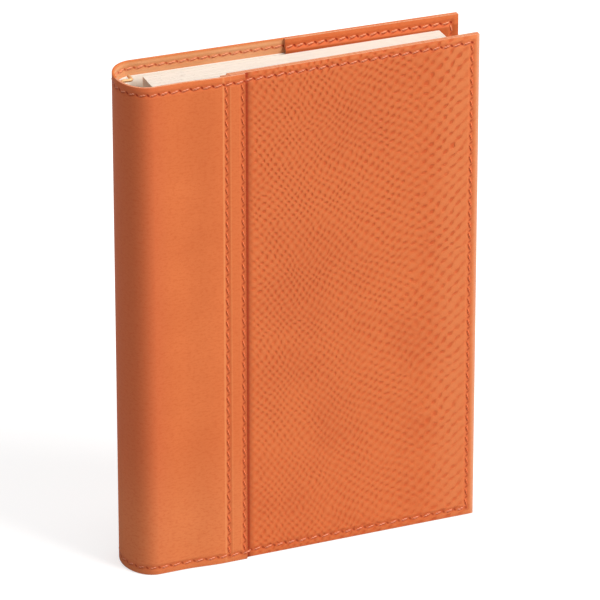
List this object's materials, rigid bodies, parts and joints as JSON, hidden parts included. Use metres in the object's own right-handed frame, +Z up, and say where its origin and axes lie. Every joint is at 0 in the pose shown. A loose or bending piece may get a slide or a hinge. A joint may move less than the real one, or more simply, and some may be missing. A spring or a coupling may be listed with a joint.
{
  "type": "spiral weekly planner",
  "caption": "Pocket weekly planner: a coil-bound block of leaves in a sewn orange leatherette slip-on jacket with an embossed front and a smooth spine.",
  "frame": {"origin": "on the surface that the closed planner stands on, under the middle of its whole outline", "axes": "+Z up along the spine, +X from the spine to the fore-edge, -Y out of the embossed front cover"},
  "size_m": [0.1106, 0.0234, 0.158],
  "materials": {
    "jacket_plain": "smooth leatherette, satin, lightly mottled",
    "jacket_embossed": "leatherette with a fine embossed reptile-like grain",
    "thread": "matte sewing thread",
    "card": "white card, matte",
    "paper": "cream-white leaves, matte",
    "wire": "ochre-gold coated steel wire"
  },
  "bodies": {
    "spine": {"wrap_spine": "jacket_plain", "card_spine": "card", "coil": "wire", "thread_spine_bottom": "thread", "thread_spine_top": "thread"},
    "front_cover": {"wrap_front": "jacket_plain", "front_panel": "jacket_embossed", "front_flap": "jacket_plain", "card_front": "card", "thread_front_rim": "thread", "thread_seam_inner": "thread", "thread_seam_outer": "thread"},
    "back_cover": {"wrap_back": "jacket_plain", "back_flap": "jacket_plain", "card_back": "card", "thread_back_rim": "thread"},
    "leaves_front_1": {"leaves_front_1": "paper"},
    "leaves_front_2": {"leaves_front_2": "paper"},
    "leaves_front_3": {"leaves_front_3": "paper"},
    "leaves_front_4": {"leaves_front_4": "paper"},
    "leaves_back_1": {"leaves_back_1": "paper"},
    "leaves_back_2": {"leaves_back_2": "paper"},
    "leaves_back_3": {"leaves_back_3": "paper"},
    "leaves_back_4": {"leaves_back_4": "paper"}
  },
  "joints": [
    {"name": "front_cover_fold", "type": "hinge", "parent": "spine", "child": "front_cover", "pos_m": [-0.0517, -0.0079, 0.079], "axis": [0, 0, -1], "range_deg": [0, 90]},
    {"name": "back_cover_fold", "type": "hinge", "parent": "spine", "child": "back_cover", "pos_m": [-0.0517, 0.00849, 0.079], "axis": [0, 0, 1], "range_deg": [0, 90]},
    {"name": "leaves_front_1_turn", "type": "hinge", "parent": "spine", "child": "leaves_front_1", "pos_m": [-0.04397, 0.0003, 0.079], "axis": [0, 0, -1], "range_deg": [0, 87.3]},
    {"name": "leaves_front_2_turn", "type": "hinge", "parent": "spine", "child": "leaves_front_2", "pos_m": [-0.04397, 0.0003, 0.079], "axis": [0, 0, -1], "range_deg": [0, 83.7]},
    {"name": "leaves_front_3_turn", "type": "hinge", "parent": "spine", "child": "leaves_front_3", "pos_m": [-0.04397, 0.0003, 0.079], "axis": [0, 0, -1], "range_deg": [0, 79.2]},
    {"name": "leaves_front_4_turn", "type": "hinge", "parent": "spine", "child": "leaves_front_4", "pos_m": [-0.04397, 0.0003, 0.079], "axis": [0, 0, -1], "range_deg": [0, 73.8]},
    {"name": "leaves_back_1_turn", "type": "hinge", "parent": "spine", "child": "leaves_back_1", "pos_m": [-0.04397, 0.0003, 0.079], "axis": [0, 0, 1], "range_deg": [0, 73.8]},
    {"name": "leaves_back_2_turn", "type": "hinge", "parent": "spine", "child": "leaves_back_2", "pos_m": [-0.04397, 0.0003, 0.079], "axis": [0, 0, 1], "range_deg": [0, 79.2]},
    {"name": "leaves_back_3_turn", "type": "hinge", "parent": "spine", "child": "leaves_back_3", "pos_m": [-0.04397, 0.0003, 0.079], "axis": [0, 0, 1], "range_deg": [0, 83.7]},
    {"name": "leaves_back_4_turn", "type": "hinge", "parent": "spine", "child": "leaves_back_4", "pos_m": [-0.04397, 0.0003, 0.079], "axis": [0, 0, 1], "range_deg": [0, 87.3]}
  ],
  "couplings": [
    {"joint": "leaves_front_1_turn", "follows": "front_cover_fold", "ratio": 0.97},
    {"joint": "leaves_front_2_turn", "follows": "front_cover_fold", "ratio": 0.93},
    {"joint": "leaves_front_3_turn", "follows": "front_cover_fold", "ratio": 0.88},
    {"joint": "leaves_front_4_turn", "follows": "front_cover_fold", "ratio": 0.82},
    {"joint": "leaves_back_1_turn", "follows": "back_cover_fold", "ratio": 0.82},
    {"joint": "leaves_back_2_turn", "follows": "back_cover_fold", "ratio": 0.88},
    {"joint": "leaves_back_3_turn", "follows": "back_cover_fold", "ratio": 0.93},
    {"joint": "leaves_back_4_turn", "follows": "back_cover_fold", "ratio": 0.97}
  ]
}
